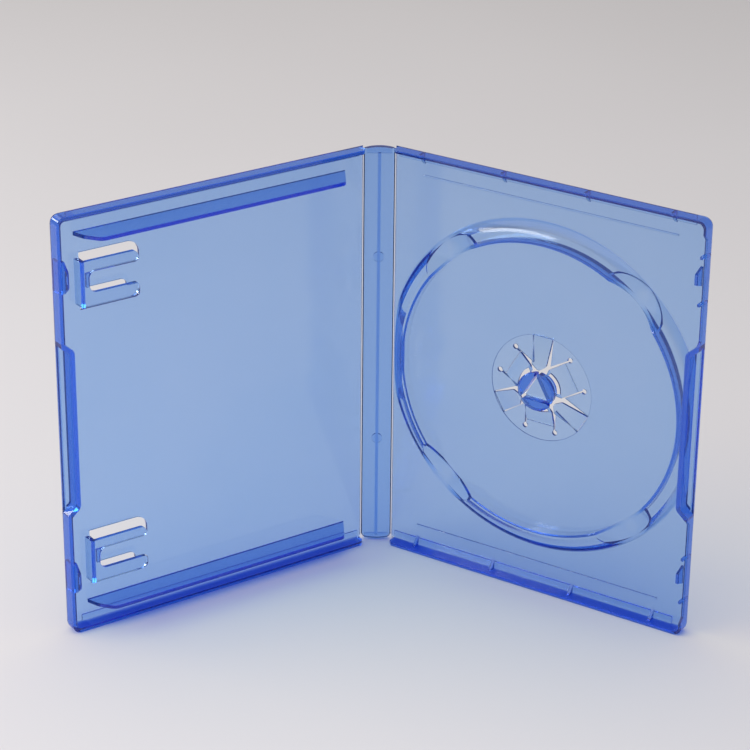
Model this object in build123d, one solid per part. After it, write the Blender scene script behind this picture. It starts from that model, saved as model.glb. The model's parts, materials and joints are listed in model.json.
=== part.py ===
from build123d import *
import math
import os

# Case, in millimetres
HEIGHT = 172.0
PANEL_WIDTH = 136.6
SPINE_PITCH = 12.4
AXIS_INSET = 0.75
OPEN_ANGLE = 33.283
SKIN = 1.2
COVER_WALL = 1.7
TRAY_WALL = 1.2
RIM_DEPTH = 6.85
CORNER_RADIUS = 3.6
EDGE_RADIUS = 2.3
STEP_WIDTH = 4.2
STEP_HEIGHT = 0.55
STEP_INSET = 6.6
MID_Z = HEIGHT / 2

# Living hinges between the panels and the spine
HINGE_GAP = 0.5
WEB_THICKNESS = 0.4
WEB_END = 1.6
HINGE_TAPER = 0.35
RIM_START = 2.3
SHOULDER_DROP = 1.6
SHOULDER_RUN = 1.6

# Spine
SPINE_SKIN = 2.0
SPINE_END_MIDDLE = 0.5
SPINE_END_CORNER = 1.3
SPINE_END_CHAMFER = 0.6
SPINE_TAPER = 0.6
BLOCK_TOP = 2.85
BLOCK_HEIGHT = 3.0
BLOCK_SIDE = 1.3
SPINE_RIB_WIDTH = 1.2
SPINE_RIB_HEIGHT = 1.7
MARK_OFFSET = 39.65
MARK_RADIUS = 2.1
MARK_HEIGHT = 0.6

# Thumb notch in the free edge, with its wall and a low lip
NOTCH_INSET = 3.4
NOTCH_WALL = 2.0
NOTCH_HALF_INNER = 31.6
NOTCH_HALF_OUTER = 34.6
NOTCH_FILLET = 1.0
LIP_WALL = 1.3
LIP_DEPTH = 2.6
NOTCH_FACE = PANEL_WIDTH - NOTCH_INSET
NOTCH_INSIDE = NOTCH_FACE - NOTCH_WALL

# Snap tabs on the cover
SNAP_OFFSET = 62.2
TAB_TIP_DEPTH = 9.7
TAB_ROOT_DEPTH = 6.4
TAB_THICKNESS = 1.0
TAB_FACE = PANEL_WIDTH - 1.85
TAB_BASE_HALF = 6.3
TAB_TIP_HALF = 3.2
TAB_TIP_RADIUS = 1.6
TAB_LEAD = 0.4
BARB_REACH = 0.2
TAB_BARB_START = 8.4
TAB_BARB_DEPTH = 9.2

# Catch plates and low side rim on the tray
CATCH_FACE = PANEL_WIDTH - 3.1
CATCH_THICKNESS = 1.0
CATCH_DEPTH = 5.8
CATCH_BASE_HALF = 4.0
CATCH_TIP_HALF = 2.1
CATCH_BARB_START = 4.5
CATCH_BARB_DEPTH = 5.35
CATCH_RIB_OFFSET = 9.35
CATCH_RIB_HALF = 0.5
CATCH_RIB_FACE = PANEL_WIDTH - 1.95
SIDE_RIM = 5.0
SIDE_RIM_FACE = PANEL_WIDTH - 2.3
SIDE_RIM_START = 7.6
SIDE_RIM_RAMP = 2.4
SIDE_RIM_END = 3.5

# Rails along the cover's top and bottom
RAIL_DEPTH = 12.2
RAIL_THICKNESS = 1.5
RAIL_Z = 9.5
RAIL_HINGE_FOOT = 8.7
RAIL_HINGE_TOP = 15.5
RAIL_TOP_END = PANEL_WIDTH - 15.7
RAIL_KNEE = PANEL_WIDTH - 11.2
RAIL_KNEE_DEPTH = 6.3
RAIL_FOOT = PANEL_WIDTH - 9.3
RAIL_HINGE_RADIUS = 2.6
RAIL_TOP_RADIUS = 4.0
RAIL_KNEE_RADIUS = 6.0

# Booklet clips on the cover, over windows in the panel
CLIP_OFFSET = 57.55
CLIP_HALF = 9.0
CLIP_LENGTH = 24.0
CLIP_BACK = PANEL_WIDTH - 9.6
CLIP_TOP = 6.3
CLIP_PLATE = 1.6
CLIP_WALL = 1.8
CLIP_DRAFT = 0.2
CLIP_CHAMFER = 0.6
CLIP_UPPER_RADIUS = 2.4
CLIP_LOWER_RADIUS = 3.4
CLIP_TIP_RADIUS = 1.4
GAP_HIGH = 5.0
GAP_LOW = 3.75
GAP_BACK = 3.4
GAP_RADIUS = 3.0
WINDOW_LONG = 27.0
WINDOW_SHORT = 21.5
WINDOW_BRIDGE = 4.4
WINDOW_HIGH = 11.0
WINDOW_LOW = 11.9
TONGUE_HIGH = 2.2
TONGUE_LOW = 3.4
TONGUE_ROOT_LOW = 6.3
WINDOW_LARGE_RADIUS = 5.0
WINDOW_SMALL_RADIUS = 2.0
WINDOW_STEP_RADIUS = 2.6

# Hollow ring round the disc, and its four finger scoops
RING_S = PANEL_WIDTH / 2 - 0.2
RING_INNER = 60.4
RING_CREST = 61.9
RING_FOOT = 69.1
RING_TOP = 5.5
RING_BULGE = 0.9
RING_EASE = 0.35
RING_SKIN = 1.1
RING_HINGE_SIDE = 3.2
SCOOP_ANGLE = 49.5
SCOOP_ANGLES = [SCOOP_ANGLE, 180 - SCOOP_ANGLE, 180 + SCOOP_ANGLE, -SCOOP_ANGLE]
SCOOP_RADIUS = 24.5
SCOOP_CENTRE = 64.0
SCOOP_LOW = 1.15

# Stiffeners along the tray's top and bottom
GUSSET_COUNT = 4
GUSSET_START = 13.5
GUSSET_END = 15.1
GUSSET_HALF = 0.6
GUSSET_TOP = 4.9
GUSSET_REACH = 5.4
RIDGE_Z = 9.95
RIDGE_RADIUS = 0.38
RIDGE_START = 13.0
RIDGE_END = 13.6

# Hub that grips the fifteen millimetre hole of the disc
PETAL_ANGLES = {"right": 30.0, "left": 150.0, "lower": -90.0}
FINGER_ANGLES = {"upper": 90.0, "right": -30.0, "left": -150.0}
HUB_ZONE = 22.0
HUB_SKIN = 1.0
HUB_HOLE = 8.25
LEAF_GAP = 0.1
LEAF_FOOT = 0.1

# Petals: a strip that folds at its outer end, with a lipped head
STRIP_FOLD = 15.0
STRIP_HALF = 6.05
STRIP_END = 6.0
STRIP_END_TOP = 3.4
STRIP_KNEE = 8.4
STRIP_KNEE_TOP = 3.0
STRIP_THICKNESS = 0.9
STRIP_NOSE = 6.5
STRIP_NOSE_HALF = 4.7
STRIP_SHOULDER = 8.2
SLOT_WIDTH = 0.7
SLOT_END = 17.7
SLOT_END_RADIUS = 1.1
SLOT_END_SHIFT = 0.2
CRESCENT_INNER = 7.7
CRESCENT_OUTER = 9.4
CRESCENT_SPREAD = 30.0
PETAL_CHORD = 3.7
PETAL_FOOT = 2.3
PETAL_WALL = 7.3
PETAL_NECK_TOP = 4.7
PETAL_LIP = 7.85
PETAL_LIP_LOW = 5.3
PETAL_LIP_HIGH = 5.6
PETAL_TOP = 6.1
PETAL_SPREAD = 55.0

# Press pad between the petals
PAD_INRADIUS = 3.0
PAD_TOP = 4.5
PAD_THICKNESS = 1.1
PAD_CORNER = 0.6

# Lift fingers
FINGER_ROOT = 21.5
FINGER_ROOT_HALF = 4.1
FINGER_NOSE = 10.5
FINGER_NOSE_HALF = 3.2
FINGER_NOSE_RADIUS = 1.5
FINGER_TIP = 8.6
FINGER_TIP_HALF = 0.6
FINGER_TIP_TOP = 4.0
FINGER_FLAT = 1.6
FINGER_THICKNESS = 0.8
FINGER_SLOT_ROOT_HALF = 4.6
FINGER_SLOT_AXIS_HALF = 3.0

# How far a cutter runs past a face, and how far an added piece sinks into one
PAST = 1.0
SINK = 0.3


# Sketches are drawn in panel terms: s from the hinge axis, n inwards from the outer face, z up
def plate(sketch, n0, n1):
    return extrude(Plane.XZ.offset(n0) * sketch, amount=n1 - n0, dir=(0, -1, 0))


def across(points, z0, z1, radii=None):
    outline = Polygon(*[(s, -n) for s, n in points], align=None)
    for (s, n), r in (radii or {}).items():
        outline = rounded(outline, [(s, -n)], r)
    return extrude(Plane.XY.offset(z0) * outline, amount=z1 - z0, dir=(0, 0, 1))


def upright(points, s0, s1, radii=None):
    outline = Polygon(*[(-n, z) for n, z in points], align=None)
    for (n, z), r in (radii or {}).items():
        outline = rounded(outline, [(-n, z)], r)
    return extrude(Plane.YZ.offset(s0) * outline, amount=s1 - s0, dir=(1, 0, 0))


def rectangle(s0, s1, z0, z1):
    return Pos((s0 + s1) / 2, (z0 + z1) / 2) * Rectangle(s1 - s0, z1 - z0)


def rounded(sketch, points, r):
    for u, v in points:
        corner = sketch.vertices().sort_by_distance((u, v, 0))[0]
        sketch = fillet(corner, r)
    return sketch


def both_ends(shape):
    return [shape, mirror(shape, about=Plane.XY.offset(MID_Z))]


# Wedges that thin a hinge edge towards its web, from the outer face and from the inner one
def hinge_wedges(edge, way, skin, inner_taper):
    outer = [
        (edge - way * HINGE_TAPER, -HINGE_TAPER),
        (edge + way * 2 * HINGE_TAPER, -HINGE_TAPER),
        (edge - way * HINGE_TAPER, 2 * HINGE_TAPER),
    ]
    inner = [
        (edge - way * inner_taper, skin + inner_taper),
        (edge + way * 2 * inner_taper, skin + inner_taper),
        (edge - way * inner_taper, skin - 2 * inner_taper),
    ]
    return [across(points, -PAST, HEIGHT + PAST) for points in (outer, inner)]


def notch_recess():
    flank = (NOTCH_HALF_OUTER - NOTCH_HALF_INNER) / NOTCH_INSET
    mouth = NOTCH_HALF_OUTER + flank * PAST
    corners = [(NOTCH_FACE, MID_Z - NOTCH_HALF_INNER), (NOTCH_FACE, MID_Z + NOTCH_HALF_INNER)]
    start = (PANEL_WIDTH + PAST, MID_Z - mouth)
    end = (PANEL_WIDTH + PAST, MID_Z + mouth)
    return rounded(Polygon(start, *corners, end, align=None), corners, NOTCH_FILLET)


# Open tray shared by the cover and the disc tray: panel, rims on three sides, thumb notch
def panel_shell(wall):
    free = [(PANEL_WIDTH, 0), (PANEL_WIDTH, HEIGHT)]
    outline = rounded(rectangle(HINGE_GAP, PANEL_WIDTH, 0, HEIGHT), free, CORNER_RADIUS)
    shell = plate(outline, 0, RIM_DEPTH)
    back = shell.faces().sort_by(Axis.Y)[-1]
    shell = fillet(back.edges().filter_by(lambda e: e.center().X > HINGE_GAP + SINK), EDGE_RADIUS)

    inner = PANEL_WIDTH - wall
    cavity = rectangle(-PAST, inner, wall, HEIGHT - wall)
    cavity = rounded(cavity, [(inner, wall), (inner, HEIGHT - wall)], CORNER_RADIUS - wall)
    recess = notch_recess()
    shell -= plate(cavity - offset(recess, NOTCH_WALL), SKIN, RIM_DEPTH + PAST)
    lip = rectangle(PANEL_WIDTH - LIP_WALL, PANEL_WIDTH + 2 * PAST, 0, HEIGHT)
    shell -= plate(recess - lip, SKIN, RIM_DEPTH + PAST)
    shell -= plate(recess, LIP_DEPTH, RIM_DEPTH + PAST)

    # Rims stop short of the hinge with a sloping shoulder
    high = RIM_DEPTH + PAST
    clear = [(-PAST, SKIN), (RIM_START, SKIN), (RIM_START, high), (-PAST, high)]
    shell -= across(clear, -PAST, HEIGHT + PAST)
    slope = [
        (RIM_START - PAST, RIM_DEPTH - SHOULDER_DROP - PAST),
        (RIM_START - PAST, high),
        (RIM_START + SHOULDER_RUN + PAST, high),
    ]
    shell -= across(slope, -PAST, HEIGHT + PAST)
    for wedge in hinge_wedges(HINGE_GAP, 1, SKIN, HINGE_TAPER / 2):
        shell -= wedge

    # Low step along the top and bottom corners
    foot = rectangle(RIM_START, PANEL_WIDTH - STEP_INSET, wall - SINK, STEP_WIDTH)
    for step in both_ends(plate(foot, SKIN - SINK, SKIN + STEP_HEIGHT)):
        shell += step
    return shell


# Front cover
def rail():
    hinge_top = (RAIL_HINGE_TOP, RAIL_DEPTH)
    free_top = (RAIL_TOP_END, RAIL_DEPTH)
    knee = (RAIL_KNEE, RAIL_KNEE_DEPTH)
    outline = [(RAIL_HINGE_FOOT, SKIN - SINK), hinge_top, free_top, knee, (RAIL_FOOT, SKIN - SINK)]
    radii = {hinge_top: RAIL_HINGE_RADIUS, free_top: RAIL_TOP_RADIUS, knee: RAIL_KNEE_RADIUS}
    return across(outline, RAIL_Z - RAIL_THICKNESS / 2, RAIL_Z + RAIL_THICKNESS / 2, radii)


def clip_window(zc):
    wall = CLIP_BACK - CLIP_WALL
    long_end = CLIP_BACK - WINDOW_LONG
    upper = rectangle(long_end, wall, zc + TONGUE_HIGH, zc + WINDOW_HIGH)
    upper = rounded(upper, [(long_end, zc + WINDOW_HIGH)], WINDOW_LARGE_RADIUS)
    upper = rounded(upper, [(long_end, zc + TONGUE_HIGH)], WINDOW_SMALL_RADIUS)
    lower = rectangle(long_end, wall, zc - WINDOW_LOW, zc - TONGUE_ROOT_LOW)
    ends = [(long_end, zc - WINDOW_LOW), (long_end, zc - TONGUE_ROOT_LOW)]
    lower = rounded(lower, ends, WINDOW_SMALL_RADIUS)
    short_end = CLIP_BACK - WINDOW_SHORT
    step = rectangle(short_end, wall, zc - TONGUE_ROOT_LOW - PAST, zc - TONGUE_LOW)
    step = rounded(step, [(short_end, zc - TONGUE_LOW)], WINDOW_STEP_RADIUS)
    bridge = rectangle(CLIP_BACK - WINDOW_BRIDGE, wall, zc - WINDOW_LOW, zc + WINDOW_HIGH)
    return upper + lower + step + bridge


def clip(zc):
    tip = CLIP_BACK - CLIP_LENGTH
    outer = rectangle(tip, CLIP_BACK, zc - CLIP_HALF, zc + CLIP_HALF)
    outer = rounded(outer, [(tip, zc + CLIP_HALF)], CLIP_UPPER_RADIUS)
    outer = rounded(outer, [(tip, zc - CLIP_HALF)], CLIP_LOWER_RADIUS)
    gap_end = CLIP_BACK - GAP_BACK
    gap = rectangle(tip - PAST, gap_end, zc - GAP_LOW, zc + GAP_HIGH)
    gap = rounded(gap, [(gap_end, zc - GAP_LOW), (gap_end, zc + GAP_HIGH)], GAP_RADIUS)
    fork = rounded(outer - gap, [(tip, zc - GAP_LOW), (tip, zc + GAP_HIGH)], CLIP_TIP_RADIUS)
    wall = [
        (CLIP_BACK - CLIP_WALL, SKIN - SINK),
        (CLIP_BACK - CLIP_WALL, CLIP_TOP),
        (CLIP_BACK, CLIP_TOP),
        (CLIP_BACK + CLIP_DRAFT, SKIN - SINK),
    ]
    body = plate(fork, CLIP_TOP - CLIP_PLATE, CLIP_TOP) + across(wall, zc - CLIP_HALF, zc + CLIP_HALF)
    edge = [
        (CLIP_BACK - CLIP_CHAMFER - SINK, CLIP_TOP + SINK),
        (CLIP_BACK + SINK, CLIP_TOP + SINK),
        (CLIP_BACK + SINK, CLIP_TOP - CLIP_CHAMFER - SINK),
    ]
    return body - across(edge, zc - CLIP_HALF - PAST, zc + CLIP_HALF + PAST)


def snap_tab(zc):
    inner = TAB_FACE - TAB_THICKNESS
    tips = [(TAB_TIP_DEPTH, zc - TAB_TIP_HALF), (TAB_TIP_DEPTH, zc + TAB_TIP_HALF)]
    root = [(TAB_ROOT_DEPTH, zc + TAB_BASE_HALF), (SKIN - SINK, zc + TAB_BASE_HALF)]
    root += [(SKIN - SINK, zc - TAB_BASE_HALF), (TAB_ROOT_DEPTH, zc - TAB_BASE_HALF)]
    tab = upright(root + tips, inner, TAB_FACE, {tip: TAB_TIP_RADIUS for tip in tips})
    tab += upright(root, inner, PANEL_WIDTH - COVER_WALL + SINK)
    barb = [
        (inner + SINK, TAB_BARB_START),
        (inner, TAB_BARB_START),
        (inner - BARB_REACH, TAB_BARB_DEPTH),
        (inner, TAB_TIP_DEPTH - TAB_LEAD),
        (inner + SINK, TAB_TIP_DEPTH - TAB_LEAD),
    ]
    half = TAB_TIP_HALF - TAB_TIP_RADIUS
    tab += across(barb, zc - half, zc + half)
    lead = [
        (TAB_FACE - TAB_LEAD, TAB_TIP_DEPTH + PAST),
        (TAB_FACE + PAST, TAB_TIP_DEPTH + PAST),
        (TAB_FACE + PAST, TAB_TIP_DEPTH - PAST),
        (TAB_FACE, TAB_TIP_DEPTH - PAST),
        (TAB_FACE - TAB_LEAD, TAB_TIP_DEPTH),
    ]
    return tab - across(lead, zc - TAB_BASE_HALF, zc + TAB_BASE_HALF)


def front_cover():
    cover = panel_shell(COVER_WALL)
    for bar in both_ends(rail()):
        cover += bar
    for zc in (MID_Z + CLIP_OFFSET, MID_Z - CLIP_OFFSET):
        cover -= plate(clip_window(zc), -PAST, SKIN + PAST)
        cover += clip(zc)
    for zc in (MID_Z + SNAP_OFFSET, MID_Z - SNAP_OFFSET):
        cover += snap_tab(zc)
    return cover


# Disc tray: the ring's outline has its radius first and its depth n second
RING_PLANE = Plane(origin=(RING_S, 0, MID_Z), x_dir=(1, 0, 0), z_dir=(0, 0, -1))
DISC_AXIS = Axis((RING_S, 0, MID_Z), (0, -1, 0))


def slope_middle(lift):
    run = RING_FOOT - RING_CREST
    fall = RING_TOP - SKIN
    length = math.hypot(run, fall)
    return (RING_CREST + run / 2 + lift * fall / length, SKIN + fall / 2 + lift * run / length)


def ring_solid():
    foot = (RING_FOOT, SKIN)
    crest = (RING_CREST, RING_TOP)
    floor = SKIN - SINK
    eased = [(RING_INNER, RING_TOP - RING_EASE), (RING_INNER + RING_EASE, RING_TOP)]
    path = Polyline(foot, (RING_FOOT, floor), (RING_INNER, floor), *eased, crest)
    slope = ThreePointArc(crest, slope_middle(RING_BULGE), foot)
    return revolve(RING_PLANE * make_face([*path.edges(), slope]), axis=DISC_AXIS)


# The hollow behind the ring is moulded by a core that opens to the tray's back
def ring_hollow():
    inner = RING_INNER + RING_SKIN
    outer = RING_FOOT - RING_SKIN
    top = RING_TOP - RING_SKIN
    shoulder = (RING_CREST + RING_EASE, top)
    middle = slope_middle(RING_BULGE - RING_SKIN)
    mouth = [(outer, -SINK), (outer, -PAST), (inner, -PAST)]
    outline = Polygon(*mouth, (inner, top), shoulder, middle, align=None)
    hollow = revolve(RING_PLANE * outline, axis=DISC_AXIS)
    for angle in SCOOP_ANGLES:
        hollow -= scoop(angle, SCOOP_RADIUS + RING_SKIN + SINK)
    return hollow


def scoop(angle, radius):
    a = math.radians(angle)
    s = RING_S + SCOOP_CENTRE * math.cos(a)
    z = MID_Z + SCOOP_CENTRE * math.sin(a)
    return Pos(s, -SCOOP_LOW - SCOOP_RADIUS, z) * Sphere(radius)


def hub_openings():
    cut = Circle(HUB_HOLE)
    for angle in PETAL_ANGLES.values():
        half = STRIP_HALF + SLOT_WIDTH
        strip = rectangle(0, STRIP_FOLD + LEAF_GAP, -half, half)
        for way in (1, -1):
            low, high = sorted((way * STRIP_HALF, way * half))
            strip += rectangle(STRIP_FOLD, SLOT_END, low, high)
            middle = way * (STRIP_HALF + SLOT_WIDTH / 2 + SLOT_END_SHIFT)
            strip += Pos(SLOT_END, middle) * Circle(SLOT_END_RADIUS)
        cut += Rot(0, 0, angle) * strip
    for angle in FINGER_ANGLES.values():
        root = FINGER_ROOT + LEAF_GAP
        finger = Polygon(
            (root, FINGER_SLOT_ROOT_HALF),
            (0, FINGER_SLOT_AXIS_HALF),
            (0, -FINGER_SLOT_AXIS_HALF),
            (root, -FINGER_SLOT_ROOT_HALF),
            align=None,
        )
        cut += Rot(0, 0, angle) * finger
    return Pos(RING_S, MID_Z) * cut


def gusset(s):
    sunk = TRAY_WALL - SINK
    outline = [(SKIN - SINK, sunk), (GUSSET_TOP, sunk), (SKIN - SINK, GUSSET_REACH)]
    return upright(outline, s - GUSSET_HALF, s + GUSSET_HALF)


def catch(zc):
    shape = [
        (SKIN - SINK, zc - CATCH_BASE_HALF),
        (CATCH_DEPTH, zc - CATCH_TIP_HALF),
        (CATCH_DEPTH, zc + CATCH_TIP_HALF),
        (SKIN - SINK, zc + CATCH_BASE_HALF),
    ]
    hook = upright(shape, CATCH_FACE - CATCH_THICKNESS, CATCH_FACE)
    barb = [
        (CATCH_FACE - SINK, CATCH_BARB_START),
        (CATCH_FACE, CATCH_BARB_START),
        (CATCH_FACE + BARB_REACH, CATCH_BARB_DEPTH),
        (CATCH_FACE, CATCH_DEPTH),
        (CATCH_FACE - SINK, CATCH_DEPTH),
    ]
    hook += across(barb, zc - CATCH_TIP_HALF, zc + CATCH_TIP_HALF)
    near = CATCH_RIB_FACE
    sunk = PANEL_WIDTH - TRAY_WALL + SINK
    rib = [(near, SKIN - SINK), (near, RIM_DEPTH), (sunk, RIM_DEPTH), (sunk, SKIN - SINK)]
    for middle in (zc + CATCH_RIB_OFFSET, zc - CATCH_RIB_OFFSET):
        hook += across(rib, middle - CATCH_RIB_HALF, middle + CATCH_RIB_HALF)
    return hook


def disc_tray():
    tray = panel_shell(TRAY_WALL)

    # Free side rim is lower than the others on each side of the notch
    end = MID_Z - NOTCH_HALF_OUTER - SIDE_RIM_END
    low = [
        (RIM_DEPTH + SINK, SIDE_RIM_START - SIDE_RIM_RAMP),
        (SIDE_RIM, SIDE_RIM_START),
        (SIDE_RIM, end),
        (RIM_DEPTH + SINK, end + SIDE_RIM_RAMP),
    ]
    for cut in both_ends(upright(low, SIDE_RIM_FACE, PANEL_WIDTH + PAST)):
        tray -= cut

    edge = 2 * TRAY_WALL
    inside = rectangle(RING_HINGE_SIDE, NOTCH_INSIDE + SINK, edge, HEIGHT - edge)
    behind = rectangle(RING_HINGE_SIDE + RING_SKIN, NOTCH_INSIDE - RING_SKIN, edge, HEIGHT - edge)
    tray += ring_solid() & plate(inside, 0, RING_TOP + PAST)
    for angle in SCOOP_ANGLES:
        tray -= scoop(angle, SCOOP_RADIUS)
    tray -= ring_hollow() & plate(behind, -2 * PAST, RING_TOP)

    tray -= Pos(RING_S, 0, MID_Z) * plate(Circle(HUB_ZONE), HUB_SKIN, SKIN + PAST)
    tray -= plate(hub_openings(), -PAST, SKIN + PAST)

    pitch = (PANEL_WIDTH - GUSSET_START - GUSSET_END) / (GUSSET_COUNT - 1)
    for index in range(GUSSET_COUNT):
        for piece in both_ends(gusset(GUSSET_START + index * pitch)):
            tray += piece
    ridge_end = Plane.YZ.offset(RIDGE_START) * Pos(-SKIN, RIDGE_Z) * Circle(RIDGE_RADIUS)
    ridge = extrude(ridge_end, amount=PANEL_WIDTH - RIDGE_END - RIDGE_START, dir=(1, 0, 0))
    for piece in both_ends(ridge):
        tray += piece
    for zc in (MID_Z + SNAP_OFFSET, MID_Z - SNAP_OFFSET):
        tray += catch(zc)
    return tray


# Hub pieces are drawn along +X from the disc's axis and turned to their places
def hub_place(shape, angle):
    return Pos(RING_S, 0, MID_Z) * (Rot(0, -angle, 0) * shape)


def lengthwise(points, half):
    return across(points, -half, half)


def mirrored(points):
    return points + [(x, -y) for x, y in reversed(points)]


def hub_petal(angle):
    root = STRIP_FOLD - LEAF_GAP
    strip = lengthwise(
        [
            (root, LEAF_FOOT),
            (root, HUB_SKIN),
            (STRIP_KNEE, STRIP_KNEE_TOP),
            (STRIP_END, STRIP_END_TOP),
            (STRIP_END, STRIP_END_TOP - STRIP_THICKNESS),
            (STRIP_KNEE, STRIP_KNEE_TOP - STRIP_THICKNESS),
            (root - STRIP_THICKNESS, LEAF_FOOT),
        ],
        STRIP_HALF,
    )
    side = [(STRIP_NOSE, STRIP_NOSE_HALF), (STRIP_SHOULDER, STRIP_HALF), (STRIP_FOLD, STRIP_HALF)]
    strip &= plate(Polygon(*mirrored(side), align=None), -PAST, PETAL_TOP)
    reach = PETAL_LIP + PAST
    wedge = mirrored([(0, 0), (2 * reach, 2 * reach * math.tan(math.radians(CRESCENT_SPREAD)))])
    crescent = (Circle(CRESCENT_OUTER) - Circle(CRESCENT_INNER)) & Polygon(*wedge[:3], align=None)
    strip -= plate(crescent, -PAST, PETAL_TOP)

    profile = Polygon(
        (SINK, PETAL_FOOT),
        (PETAL_WALL, PETAL_FOOT),
        (PETAL_WALL, PETAL_NECK_TOP),
        (PETAL_LIP, PETAL_LIP_LOW),
        (PETAL_LIP, PETAL_LIP_HIGH),
        (PETAL_WALL, PETAL_TOP),
        (SINK, PETAL_TOP),
        align=None,
    )
    turn = Plane(origin=(0, 0, 0), x_dir=(1, 0, 0), z_dir=(0, 0, -1))
    head = revolve(turn * profile, axis=Axis((0, 0, 0), (0, -1, 0)))
    flank = math.tan(math.radians(PETAL_SPREAD))
    sector = mirrored([(PETAL_CHORD, PETAL_CHORD * flank), (reach, reach * flank)])
    head &= plate(Polygon(*sector, align=None), 0, PETAL_TOP + PAST)
    return hub_place(strip + head, angle)


# The pad's corners lie between the petals
def hub_press_pad():
    turns = [math.radians(angle) for angle in FINGER_ANGLES.values()]
    corners = [(2 * PAD_INRADIUS * math.cos(t), 2 * PAD_INRADIUS * math.sin(t)) for t in turns]
    pad = rounded(Polygon(*corners, align=None), corners, PAD_CORNER)
    return Pos(RING_S, 0, MID_Z) * plate(pad, PAD_TOP - PAD_THICKNESS, PAD_TOP)


def lift_finger(angle):
    root = FINGER_ROOT - LEAF_GAP
    bend = FINGER_TIP + FINGER_FLAT
    beam = lengthwise(
        [
            (root, LEAF_FOOT),
            (root, HUB_SKIN),
            (bend, FINGER_TIP_TOP - LEAF_FOOT),
            (FINGER_TIP, FINGER_TIP_TOP),
            (FINGER_TIP, FINGER_TIP_TOP - FINGER_THICKNESS),
            (bend, FINGER_TIP_TOP - LEAF_FOOT - FINGER_THICKNESS),
            (root - FINGER_THICKNESS, LEAF_FOOT),
        ],
        FINGER_SLOT_ROOT_HALF,
    )
    nose = [(FINGER_NOSE, FINGER_NOSE_HALF), (FINGER_NOSE, -FINGER_NOSE_HALF)]
    side = [(FINGER_ROOT, FINGER_ROOT_HALF), nose[0], (FINGER_TIP, FINGER_TIP_HALF)]
    shape = rounded(Polygon(*mirrored(side), align=None), nose, FINGER_NOSE_RADIUS)
    return hub_place(beam & plate(shape, -PAST, PETAL_TOP), angle)


# Spine, drawn with p from the tray's hinge axis towards the cover's
def spine_outline():
    near = HINGE_GAP
    far = SPINE_PITCH - HINGE_GAP
    low = SPINE_END_CORNER
    high = HEIGHT - SPINE_END_CORNER
    return make_face(
        [
            ThreePointArc((near, low), (SPINE_PITCH / 2, SPINE_END_MIDDLE), (far, low)),
            Line((far, low), (far, high)),
            ThreePointArc((far, high), (SPINE_PITCH / 2, HEIGHT - SPINE_END_MIDDLE), (near, high)),
            Line((near, high), (near, low)),
        ]
    )


def spine():
    outline = spine_outline()
    body = plate(outline, 0, SPINE_SKIN)
    ends = body.edges().filter_by(GeomType.CIRCLE).group_by(Axis.Y)[-1]
    body = chamfer(ends, SPINE_END_CHAMFER)
    for edge, way in ((HINGE_GAP, 1), (SPINE_PITCH - HINGE_GAP, -1)):
        for wedge in hinge_wedges(edge, way, SPINE_SKIN, SPINE_TAPER):
            body -= wedge
    block = outline & rectangle(BLOCK_SIDE, SPINE_PITCH - BLOCK_SIDE, 0, BLOCK_HEIGHT)
    for piece in both_ends(plate(block, SPINE_SKIN - SINK, BLOCK_TOP)):
        body += piece
    middle = SPINE_PITCH / 2
    half = SPINE_RIB_WIDTH / 2
    rib = rectangle(middle - half, middle + half, BLOCK_HEIGHT - SINK, HEIGHT - BLOCK_HEIGHT + SINK)
    body += plate(rib, SPINE_SKIN - SINK, SPINE_SKIN + SPINE_RIB_HEIGHT)
    mark = Pos(middle, MID_Z - MARK_OFFSET) * Circle(MARK_RADIUS)
    for piece in both_ends(plate(mark, SPINE_SKIN - SINK, SPINE_SKIN + MARK_HEIGHT)):
        body += piece
    return body


def hinge_web():
    half = WEB_THICKNESS / 2
    leaf = plate(rectangle(0, HINGE_GAP, WEB_END, HEIGHT - WEB_END), AXIS_INSET - half, AXIS_INSET + half)
    foot = (Align.CENTER, Align.CENTER, Align.MIN)
    core = Pos(0, -AXIS_INSET, WEB_END) * Cylinder(half, HEIGHT - 2 * WEB_END, align=foot)
    return leaf, core


# Everything is placed in the tray's frame: the spine and cover swing about upright hinge axes
TO_AXIS = Pos(0, AXIS_INSET, 0)
OPEN_TURN = math.radians(OPEN_ANGLE)
rear_axis = Vector(0, -AXIS_INSET, 0)
front_axis = rear_axis - Vector(math.cos(OPEN_TURN), math.sin(OPEN_TURN), 0) * SPINE_PITCH


def on_spine(shape):
    flipped = mirror(shape, about=Plane.YZ)
    return Pos(*rear_axis) * (Rot(0, 0, OPEN_ANGLE) * (TO_AXIS * flipped))


def on_cover(shape):
    flipped = mirror(shape, about=Plane.YZ)
    return Pos(*front_axis) * (Rot(0, 0, 2 * OPEN_ANGLE) * (TO_AXIS * flipped))


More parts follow.
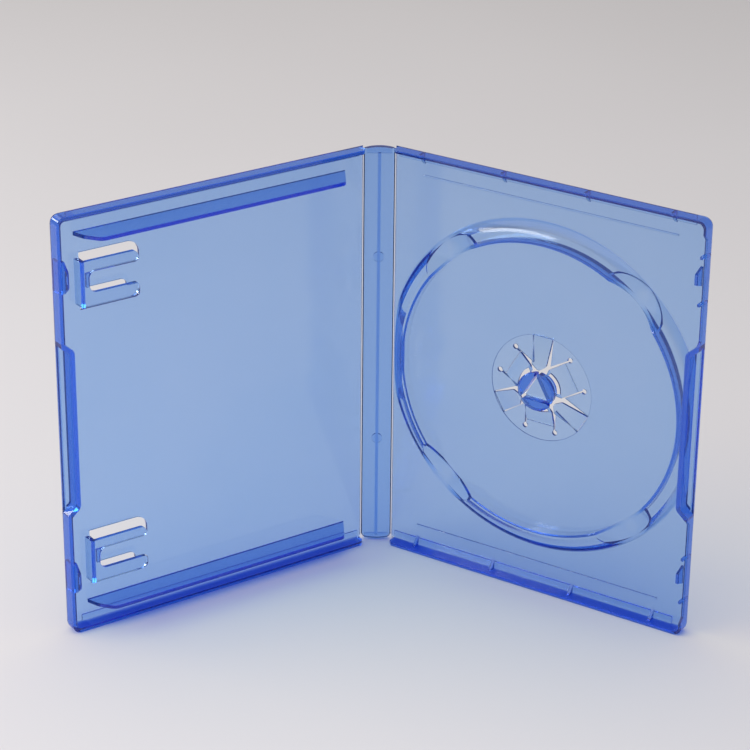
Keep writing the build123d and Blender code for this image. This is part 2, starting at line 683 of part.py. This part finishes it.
def main():
    nodes = {}
    nodes["disc_tray"] = disc_tray()
    nodes["spine"] = on_spine(spine())
    nodes["front_cover"] = on_cover(front_cover())
    leaf, core = hinge_web()
    far_leaf = Pos(SPINE_PITCH, 0, 0) * mirror(leaf, about=Plane.YZ)
    far_core = Pos(SPINE_PITCH, 0, 0) * core
    nodes["rear_hinge_web"] = leaf + core + on_spine(leaf)
    nodes["front_hinge_web"] = on_spine(far_leaf) + on_spine(far_core) + on_cover(leaf)
    nodes["hub_press_pad"] = hub_press_pad()
    for name, angle in PETAL_ANGLES.items():
        nodes["hub_petal_" + name] = hub_petal(angle)
    for name, angle in FINGER_ANGLES.items():
        nodes["lift_finger_" + name] = lift_finger(angle)

    # The origin is the middle of the whole box's foot
    boxes = [shape.bounding_box() for shape in nodes.values()]
    low = Vector(*[min(tuple(box.min)[axis] for box in boxes) for axis in range(3)])
    high = Vector(*[max(tuple(box.max)[axis] for box in boxes) for axis in range(3)])
    shift = Vector(-(low.X + high.X) / 2, -(low.Y + high.Y) / 2, -low.Z)

    os.makedirs("parts", exist_ok=True)
    for name, shape in nodes.items():
        placed = Pos(*shift) * shape
        export_step(placed, "parts/" + name + ".step")
        print(name, "volume", round(placed.volume, 1), "solids", len(placed.solids()))
    print("box", tuple(round(v, 3) for v in (high - low)))
    print("shift", tuple(round(v, 4) for v in shift))
    print("rear hinge", tuple(round(v, 4) for v in rear_axis + shift))
    print("front hinge", tuple(round(v, 4) for v in front_axis + shift))
    print("disc axis", tuple(round(v, 4) for v in Vector(RING_S, 0, MID_Z) + shift))


main()
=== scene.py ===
import json
import math

import bpy
from mathutils import Matrix, Vector


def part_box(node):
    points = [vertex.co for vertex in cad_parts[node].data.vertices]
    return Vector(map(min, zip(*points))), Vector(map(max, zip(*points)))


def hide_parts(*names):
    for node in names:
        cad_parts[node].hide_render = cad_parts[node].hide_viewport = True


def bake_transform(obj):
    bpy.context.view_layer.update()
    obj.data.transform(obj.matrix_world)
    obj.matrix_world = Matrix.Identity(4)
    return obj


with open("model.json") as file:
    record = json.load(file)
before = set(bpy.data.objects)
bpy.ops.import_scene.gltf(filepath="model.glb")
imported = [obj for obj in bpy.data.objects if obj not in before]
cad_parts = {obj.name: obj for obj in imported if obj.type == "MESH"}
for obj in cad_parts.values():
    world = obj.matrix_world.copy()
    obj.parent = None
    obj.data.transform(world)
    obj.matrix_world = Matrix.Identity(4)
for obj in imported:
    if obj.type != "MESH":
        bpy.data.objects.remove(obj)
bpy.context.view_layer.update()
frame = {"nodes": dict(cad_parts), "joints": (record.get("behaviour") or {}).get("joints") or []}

MM = 0.001
WHITE = (1.0, 1.0, 1.0)

# Clear blue plastic: its surface, its depth of colour and the tint of light that goes through it
PLASTIC_IOR = 1.49
PLASTIC_TRANSMISSION = 0.98
PLASTIC_SPECULAR = 0.5
PLASTIC_LOW = (0.755, 0.855, 0.973)
PLASTIC_HIGH = (0.810, 0.885, 0.983)
PLASTIC_ROUGH = (0.03, 0.10)
DEPTH_TINT = (0.05, 0.50, 0.955)
DEPTH_DENSITY = 480.0
MILK = (0.16, 0.36, 0.95)
MILK_SHARE = 0.05
THROUGH_UPRIGHT = (1.0, 1.0, 0.92)
THROUGH_LEVEL = (0.23, 0.48, 0.90)
RIPPLE_STRENGTH = 0.04
RIPPLE_DEPTH = 0.2 * MM

# Scale, detail and roughness of each noise
FLOW_NOISE = (14.0, 3.0, 0.6)
HAZE_NOISE = (160.0, 4.0, 0.6)
RIPPLE_NOISE = (60.0, 2.0, 0.4)
WEB_NOISE = (40.0, 3.0, 0.6)
FLOOR_NOISE = (2.0, 2.0, 0.5)
RAMP_SPAN = (0.3, 0.7)

# Painted shade: a thin dark circle drawn into the colour round the hub, where the moulded step shows
# dark
LINE_RADIUS = 22.0 * MM
LINE_HALF = 0.16 * MM
STEP_SHADE_COLOUR = (0.37, 0.46, 0.68)

# Painted shade: walls along the panels' edges and the petals' raised walls are tinted a deeper blue, for
# the light they lose along their length
WALL_SHADE_TINT = (0.47, 0.64, 0.96)
EDGE_ZONE = 8.0 * MM
PETAL_ROOT = 2.4 * MM
WALL_SLANT = 0.5

# Living hinge webs
FROM_SPINE = "from_spine"
WEB_HALF = 0.2 * MM
WEB_REACH = 0.5 * MM
WEB_STEPS = 12
# Painted shade along the web's edge at the spine
WEB_EDGE_SHADE = (0.12, 0.15, 0.30)
WEB_EDGE_SPAN = (0.30, 0.40)
WEB_LOW = (0.94, 0.965, 1.0)
WEB_HIGH = (0.97, 0.985, 1.0)
WEB_WHITE = (0.76, 0.85, 1.0)
WEB_ROUGH = 0.25
WEB_SKIN_SHARE = (0.02, 0.06)

# Floor, in metres, painted a little darker away from the camera as shade
FLOOR_HALF = 6.0
FLOOR_GAP = 0.2 * MM
FLOOR_ROUGH = 0.85
FLOOR_NEAR_LOW = (0.680, 0.658, 0.675)
FLOOR_NEAR_HIGH = (0.710, 0.688, 0.705)
FLOOR_FAR_SHADE_LOW = (0.530, 0.507, 0.504)
FLOOR_FAR_SHADE_HIGH = (0.555, 0.532, 0.529)
FLOOR_FADE = (-0.10, 0.90)

# Light all round
WORLD_COLOUR = (0.95, 0.95, 0.97)
WORLD_STRENGTH = 0.46

# Camera, placed from the middle of the spine's foot, with its angles in degrees
CAMERA_PLACE = Vector((-13.67, -988.15, 532.9)) * MM
CAMERA_YAW = 0.739
CAMERA_PITCH = 24.924
CAMERA_ROLL = 0.566
FOCAL_PX = 2716.06
FRAME_PX = 750.0
SENSOR_MM = 36.0
CLIP_START = 0.05
CLIP_END = 50.0

# Hinge axes, opening angle and panel directions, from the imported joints
joints = {j["name"]: j for j in frame["joints"]}
rear_axis = Vector(joints["rear_hinge"]["pos_m"])
front_axis = Vector(joints["front_hinge"]["pos_m"])
spine_way = (front_axis - rear_axis).normalized()
open_angle = math.atan2(-spine_way.y, -spine_way.x)
tray_way = Vector((1, 0, 0))
tray_facing = Vector((0, 1, 0))
cover_way = Vector((-math.cos(2 * open_angle), -math.sin(2 * open_angle), 0))
cover_facing = Vector((-cover_way.y, cover_way.x, 0))
spine_mid = (rear_axis + front_axis) / 2
spine_mid.z = 0
spine_turn = Matrix.Rotation(open_angle, 3, "Z")


# Node helpers: a value is a number, a colour or the output that feeds the socket
def feed(tree, socket, value):
    if isinstance(value, bpy.types.NodeSocket):
        tree.links.new(value, socket)
    else:
        socket.default_value = value


def opaque(colour):
    return (*colour, 1)


def new_material(name):
    mat = bpy.data.materials.new(name)
    mat.use_nodes = True
    tree = mat.node_tree
    tree.nodes.clear()
    out = tree.nodes.new("ShaderNodeOutputMaterial")
    return mat, tree, out


def math_node(tree, operation, *values):
    node = tree.nodes.new("ShaderNodeMath")
    node.operation = operation
    for socket, value in zip(node.inputs, values):
        feed(tree, socket, value)
    return node.outputs["Value"]


def vector_node(tree, operation, result, *values):
    node = tree.nodes.new("ShaderNodeVectorMath")
    node.operation = operation
    for socket, value in zip(node.inputs, values):
        feed(tree, socket, value)
    return node.outputs[result]


def split(tree, vector):
    node = tree.nodes.new("ShaderNodeSeparateXYZ")
    tree.links.new(vector, node.inputs["Vector"])
    return node.outputs


def noise(tree, kind):
    scale, detail, rough = kind
    coord = tree.nodes.new("ShaderNodeTexCoord")
    tex = tree.nodes.new("ShaderNodeTexNoise")
    tex.inputs["Scale"].default_value = scale
    tex.inputs["Detail"].default_value = detail
    tex.inputs["Roughness"].default_value = rough
    tree.links.new(coord.outputs["Object"], tex.inputs["Vector"])
    return tex.outputs["Fac"]


def ramp(tree, source, low, high, span=RAMP_SPAN):
    node = tree.nodes.new("ShaderNodeValToRGB")
    for element, place, colour in zip(node.color_ramp.elements, span, (low, high)):
        element.position = place
        element.color = opaque(colour)
    tree.links.new(source, node.inputs["Fac"])
    return node.outputs["Color"]


def spread(tree, source, low, high, start=0.0, end=1.0):
    node = tree.nodes.new("ShaderNodeMapRange")
    node.inputs["From Min"].default_value = start
    node.inputs["From Max"].default_value = end
    node.inputs["To Min"].default_value = low
    node.inputs["To Max"].default_value = high
    tree.links.new(source, node.inputs["Value"])
    return node.outputs["Result"]


def mix_colours(tree, share, first, second, blend="MIX"):
    node = tree.nodes.new("ShaderNodeMix")
    node.data_type = "RGBA"
    node.blend_type = blend
    feed(tree, node.inputs["Factor"], share)
    feed(tree, node.inputs["A"], first)
    feed(tree, node.inputs["B"], second)
    return node.outputs["Result"]


def mix_shaders(tree, share, first, second):
    node = tree.nodes.new("ShaderNodeMixShader")
    feed(tree, node.inputs["Fac"], share)
    tree.links.new(first, node.inputs[1])
    tree.links.new(second, node.inputs[2])
    return node.outputs["Shader"]


# Colour with the painted dark circle of the hub's moulded step, drawn on the faces that lie in front of
# centre
def step_shade_line(tree, colour, centre):
    coord = tree.nodes.new("ShaderNodeTexCoord")
    offset = split(tree, vector_node(tree, "SUBTRACT", "Vector", coord.outputs["Object"], centre))
    flat = tree.nodes.new("ShaderNodeCombineXYZ")
    tree.links.new(offset["X"], flat.inputs["X"])
    tree.links.new(offset["Z"], flat.inputs["Z"])
    radius = vector_node(tree, "LENGTH", "Value", flat.outputs["Vector"])
    on_circle = math_node(tree, "COMPARE", radius, LINE_RADIUS, LINE_HALF)
    in_front = math_node(tree, "LESS_THAN", offset["Y"], 0.0)
    share = math_node(tree, "MULTIPLY", on_circle, in_front)
    return mix_colours(tree, share, colour, opaque(STEP_SHADE_COLOUR))


# Colour with the painted deeper-blue shade on walls, which turn away from facing, past the start along
# any zone's way
def painted_wall_shade(tree, colour, facing, zones):
    coord = tree.nodes.new("ShaderNodeTexCoord")
    slant = vector_node(tree, "DOT_PRODUCT", "Value", coord.outputs["Normal"], facing)
    is_wall = math_node(tree, "LESS_THAN", math_node(tree, "ABSOLUTE", slant), WALL_SLANT)
    in_zone = 0.0
    for way, start in zones:
        along = vector_node(tree, "DOT_PRODUCT", "Value", coord.outputs["Object"], way)
        beyond = math_node(tree, "GREATER_THAN", along, start)
        in_zone = math_node(tree, "MAXIMUM", in_zone, beyond)
    share = math_node(tree, "MULTIPLY", is_wall, in_zone)
    return mix_colours(tree, share, colour, opaque(WALL_SHADE_TINT), "MULTIPLY")


def clear_plastic(name, line_at=None, edges=None):
    mat, tree, out = new_material(name)
    body = tree.nodes.new("ShaderNodeBsdfPrincipled")
    body.inputs["IOR"].default_value = PLASTIC_IOR
    body.inputs["Transmission Weight"].default_value = PLASTIC_TRANSMISSION
    body.inputs["Specular IOR Level"].default_value = PLASTIC_SPECULAR
    colour = ramp(tree, noise(tree, FLOW_NOISE), PLASTIC_LOW, PLASTIC_HIGH)
    # Painted shade: the dark circle of the hub's step, then the deeper blue on walls
    if line_at is not None:
        colour = step_shade_line(tree, colour, line_at)
    if edges is not None:
        colour = painted_wall_shade(tree, colour, *edges)
    tree.links.new(colour, body.inputs["Base Color"])
    tree.links.new(spread(tree, noise(tree, HAZE_NOISE), *PLASTIC_ROUGH), body.inputs["Roughness"])
    bump = tree.nodes.new("ShaderNodeBump")
    bump.inputs["Strength"].default_value = RIPPLE_STRENGTH
    bump.inputs["Distance"].default_value = RIPPLE_DEPTH
    tree.links.new(noise(tree, RIPPLE_NOISE), bump.inputs["Height"])
    tree.links.new(bump.outputs["Normal"], body.inputs["Normal"])
    # A little light is scattered inside the plastic
    milk = tree.nodes.new("ShaderNodeBsdfTranslucent")
    milk.inputs["Color"].default_value = opaque(MILK)
    surface = mix_shaders(tree, MILK_SHARE, body.outputs["BSDF"], milk.outputs["BSDF"])
    # Light from the lamps and the floor goes straight through, tinted most by level walls
    face = tree.nodes.new("ShaderNodeNewGeometry")
    level = math_node(tree, "ABSOLUTE", split(tree, face.outputs["Normal"])["Z"])
    through = tree.nodes.new("ShaderNodeBsdfTransparent")
    tree.links.new(ramp(tree, level, THROUGH_UPRIGHT, THROUGH_LEVEL), through.inputs["Color"])
    path = tree.nodes.new("ShaderNodeLightPath")
    for ray in ("Is Diffuse Ray", "Is Shadow Ray"):
        surface = mix_shaders(tree, path.outputs[ray], surface, through.outputs["BSDF"])
    tree.links.new(surface, out.inputs["Surface"])
    inside = tree.nodes.new("ShaderNodeVolumeAbsorption")
    inside.inputs["Color"].default_value = opaque(DEPTH_TINT)
    inside.inputs["Density"].default_value = DEPTH_DENSITY
    tree.links.new(inside.outputs["Volume"], out.inputs["Volume"])
    return mat


# The web is too thin to bend the view, so light goes straight through it, with a painted shade line
# darker along the spine's edge
def thin_web(name):
    mat, tree, out = new_material(name)
    flow = noise(tree, WEB_NOISE)
    fold = tree.nodes.new("ShaderNodeAttribute")
    fold.attribute_name = FROM_SPINE
    edge = ramp(tree, fold.outputs["Fac"], WEB_EDGE_SHADE, WHITE, WEB_EDGE_SPAN)
    tone = mix_colours(tree, 1.0, ramp(tree, flow, WEB_LOW, WEB_HIGH), edge, "MULTIPLY")
    through = tree.nodes.new("ShaderNodeBsdfTransparent")
    tree.links.new(tone, through.inputs["Color"])
    skin = tree.nodes.new("ShaderNodeBsdfPrincipled")
    skin.inputs["Roughness"].default_value = WEB_ROUGH
    skin_colour = mix_colours(tree, 1.0, opaque(WEB_WHITE), edge, "MULTIPLY")
    tree.links.new(skin_colour, skin.inputs["Base Color"])
    skin_share = spread(tree, flow, *WEB_SKIN_SHARE)
    surface = mix_shaders(tree, skin_share, through.outputs["BSDF"], skin.outputs["BSDF"])
    tree.links.new(surface, out.inputs["Surface"])
    return mat


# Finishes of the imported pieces
folds = [Vector(joints["petal_" + side + "_fold"]["pos_m"]) for side in ("right", "left", "lower")]
hub_centre = (folds[0] + folds[1] + folds[2]) / len(folds)
tray_low, tray_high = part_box("disc_tray")
panel_width = tray_high.x - rear_axis.x
# Zones whose walls get the painted deeper-blue shade
tray_zones = [
    (Vector((1, 0, 0)), tray_high.x - EDGE_ZONE),
    (Vector((0, 0, 1)), tray_high.z - EDGE_ZONE),
    (Vector((0, 0, -1)), -tray_low.z - EDGE_ZONE),
]
cover_zones = [(cover_way, front_axis.dot(cover_way) + panel_width - EDGE_ZONE)]
petal_zones = [(-tray_facing, PETAL_ROOT - hub_centre.y)]
# With no facing, every side of a petal's raised wall counts as a wall
no_facing = Vector((0, 0, 0))
finishes = {
    "disc_tray": clear_plastic("clear_blue_tray", hub_centre, (tray_facing, tray_zones)),
    "front_cover": clear_plastic("clear_blue_cover", edges=(cover_facing, cover_zones)),
    "spine": clear_plastic("clear_blue_shell"),
}
hub_mat = clear_plastic("clear_blue_hub")
petal_mat = clear_plastic("clear_blue_petal", edges=(no_facing, petal_zones))
web_mat = thin_web("flexed_web")
for name, node in frame["nodes"].items():
    if name.startswith("hub_petal"):
        finish = petal_mat
    elif name.endswith("hinge_web"):
        finish = web_mat
    else:
        finish = finishes.get(name, hub_mat)
    node.data.materials.clear()
    node.data.materials.append(finish)


# Half the thickness to either side of the curve from the spine, past the axis, to the panel
def web_sides(spine_side, panel_side):
    line = []
    for k in range(WEB_STEPS + 1):
        t = k / WEB_STEPS
        line.append((spine_side * (1 - t) ** 2 + panel_side * t ** 2) * WEB_REACH)
    sides = []
    for k, point in enumerate(line):
        along = (line[min(k + 1, WEB_STEPS)] - line[max(k - 1, 0)]).normalized()
        across = Vector((-along.y, along.x, 0)) * WEB_HALF
        sides.append((point + across, point - across))
    return sides


# A web's skin, which spans the node's height and tells each point how far it is from the spine
def hinge_web(name, node, axis, spine_side, panel_side):
    low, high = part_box(node)
    verts = []
    for z in (low.z, high.z):
        for pair in web_sides(spine_side, panel_side):
            for point in pair:
                verts.append((axis.x + point.x, axis.y + point.y, z))
    ring = 2 * (WEB_STEPS + 1)
    faces = []
    for k in range(WEB_STEPS):
        i = 2 * k
        faces.append((i, i + 2, i + 2 + ring, i + ring))
        faces.append((i + 3, i + 1, i + 1 + ring, i + 3 + ring))
        faces.append((i + 1, i + 3, i + 2, i))
        faces.append((i + ring, i + 2 + ring, i + 3 + ring, i + 1 + ring))
    last = 2 * WEB_STEPS
    faces.append((1, 0, ring, ring + 1))
    faces.append((last, last + 1, last + 1 + ring, last + ring))
    mesh = bpy.data.meshes.new(name)
    mesh.from_pydata(verts, [], faces)
    mesh.validate()
    fold = mesh.attributes.new(FROM_SPINE, "FLOAT", "POINT")
    for i in range(len(verts)):
        fold.data[i].value = i % ring // 2 / WEB_STEPS
    mesh.materials.append(web_mat)
    # Only the two long sides are smooth; the ends and edges stay flat
    for k in range(WEB_STEPS):
        mesh.polygons[4 * k].use_smooth = True
        mesh.polygons[4 * k + 1].use_smooth = True
    web = bpy.data.objects.new(name, mesh)
    bpy.context.scene.collection.objects.link(web)
    return web


# A web stands for its node and bends from the spine to the panel
def hang_web(name, node, axis, spine_side, panel_side):
    web = hinge_web(name, node, axis, spine_side, panel_side)
    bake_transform(web)
    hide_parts(node)


hang_web("rear_web_skin", "rear_hinge_web", rear_axis, spine_way, tray_way)
hang_web("front_web_skin", "front_hinge_web", front_axis, -spine_way, cover_way)


def floor_finish():
    mat, tree, out = new_material("pale_floor")
    mottle = noise(tree, FLOOR_NOISE)
    near = ramp(tree, mottle, FLOOR_NEAR_LOW, FLOOR_NEAR_HIGH)
    far = ramp(tree, mottle, FLOOR_FAR_SHADE_LOW, FLOOR_FAR_SHADE_HIGH)
    coord = tree.nodes.new("ShaderNodeTexCoord")
    # Painted shade: the floor's colour darkens away from the camera
    away = spread(tree, split(tree, coord.outputs["Object"])["Y"], 0.0, 1.0, *FLOOR_FADE)
    shader = tree.nodes.new("ShaderNodeBsdfPrincipled")
    shader.inputs["Roughness"].default_value = FLOOR_ROUGH
    tree.links.new(mix_colours(tree, away, near, far), shader.inputs["Base Color"])
    tree.links.new(shader.outputs["BSDF"], out.inputs["Surface"])
    return mat


# The floor lies just clear of the case and is turned to the spine, so that its painted shade deepens
# away from the camera
corners = ((-1, -1), (1, -1), (1, 1), (-1, 1))
floor_mesh = bpy.data.meshes.new("floor")
floor_mesh.from_pydata([(x * FLOOR_HALF, y * FLOOR_HALF, 0) for x, y in corners], [], [(0, 1, 2, 3)])
floor_mesh.materials.append(floor_finish())
floor = bpy.data.objects.new("floor", floor_mesh)
floor.rotation_euler.z = open_angle
floor.location.z = -FLOOR_GAP
bpy.context.scene.collection.objects.link(floor)

world = bpy.data.worlds.new("studio")
bpy.context.scene.world = world
world.use_nodes = True
back = world.node_tree.nodes["Background"]
back.inputs["Color"].default_value = opaque(WORLD_COLOUR)
back.inputs["Strength"].default_value = WORLD_STRENGTH


# Lamps and camera are placed from the middle of the spine's foot: x along it, y away from the camera
def placed(v):
    return spine_mid + spine_turn @ Vector(v)


def lamp(name, place, target, size, power, colour):
    data = bpy.data.lights.new(name, "AREA")
    data.shape = "RECTANGLE"
    data.size = size[0]
    data.size_y = size[1]
    data.energy = power
    data.color = colour
    obj = bpy.data.objects.new(name, data)
    bpy.context.scene.collection.objects.link(obj)
    obj.location = placed(place)
    way = placed(target) - obj.location
    obj.rotation_euler = way.to_track_quat("-Z", "Y").to_euler()


lamp(
    "overhead_softbox",
    place=(-0.45, 0.10, 1.6),
    target=(0.0, 0.02, 0.0),
    size=(2.6, 2.4),
    power=23.0,
    colour=(1.0, 0.99, 0.98),
)
lamp(
    "left_strip",
    place=(-1.25, -0.10, 0.66),
    target=(0.0, 0.0, 0.1),
    size=(1.5, 0.26),
    power=10.0,
    colour=(1.0, 0.99, 0.97),
)


# Camera's own axes in the room, turned by yaw, then pitch, then roll
def camera_axes():
    yaw = math.radians(CAMERA_YAW)
    pitch = math.radians(CAMERA_PITCH)
    roll = math.radians(CAMERA_ROLL)
    ahead = Vector((math.sin(yaw) * math.cos(pitch), math.cos(yaw) * math.cos(pitch), -math.sin(pitch)))
    level = Vector((math.cos(yaw), -math.sin(yaw), 0))
    above = level.cross(ahead)
    right = level * math.cos(roll) + above * math.sin(roll)
    up = above * math.cos(roll) - level * math.sin(roll)
    return [spine_turn @ way for way in (right, up, -ahead)]


camera_data = bpy.data.cameras.new("camera")
camera_data.sensor_width = SENSOR_MM
camera_data.sensor_fit = "HORIZONTAL"
camera_data.lens = SENSOR_MM * FOCAL_PX / FRAME_PX
camera_data.clip_start = CLIP_START
camera_data.clip_end = CLIP_END
camera = bpy.data.objects.new("camera", camera_data)
bpy.context.scene.collection.objects.link(camera)
turned = Matrix(camera_axes()).transposed().to_4x4()
camera.matrix_world = Matrix.Translation(placed(CAMERA_PLACE)) @ turned
bpy.context.scene.camera = camera
bpy.context.scene.view_settings.view_transform = "Standard"
